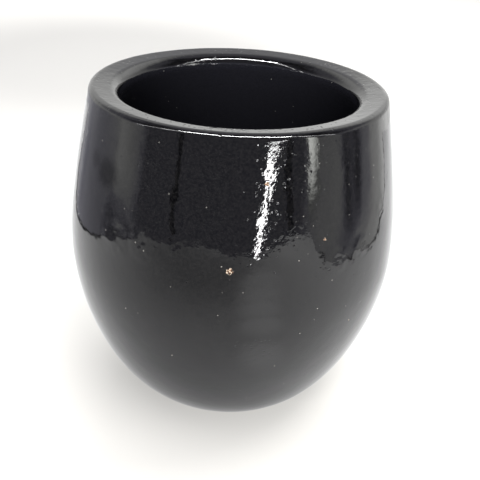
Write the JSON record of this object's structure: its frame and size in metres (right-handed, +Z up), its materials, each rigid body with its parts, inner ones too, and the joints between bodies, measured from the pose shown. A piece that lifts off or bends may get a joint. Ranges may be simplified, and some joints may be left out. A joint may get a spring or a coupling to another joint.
{
  "type": "glazed clay pot",
  "caption": "Egg-shaped clay plant pot with a thick rolled rim, a small foot ring, a drain hole and a glossy black glaze inside and out.",
  "frame": {"origin": "centre of the foot, on the surface that the pot stands on", "axes": "+Z up along the pot's axis. The pot is round, so X and Y are any two level directions."},
  "size_m": [0.26, 0.26, 0.2573],
  "materials": {
    "clay": "bare fired earthenware, matt and slightly gritty",
    "glaze": "glossy black glaze with pinholes and small pits"
  },
  "bodies": {
    "root": {"foot_ring": "clay", "base_slab": "clay", "lower_wall": "clay", "upper_wall": "clay", "rim_coil": "clay", "outer_glaze": "glaze", "liner_glaze": "glaze"}
  },
  "joints": []
}
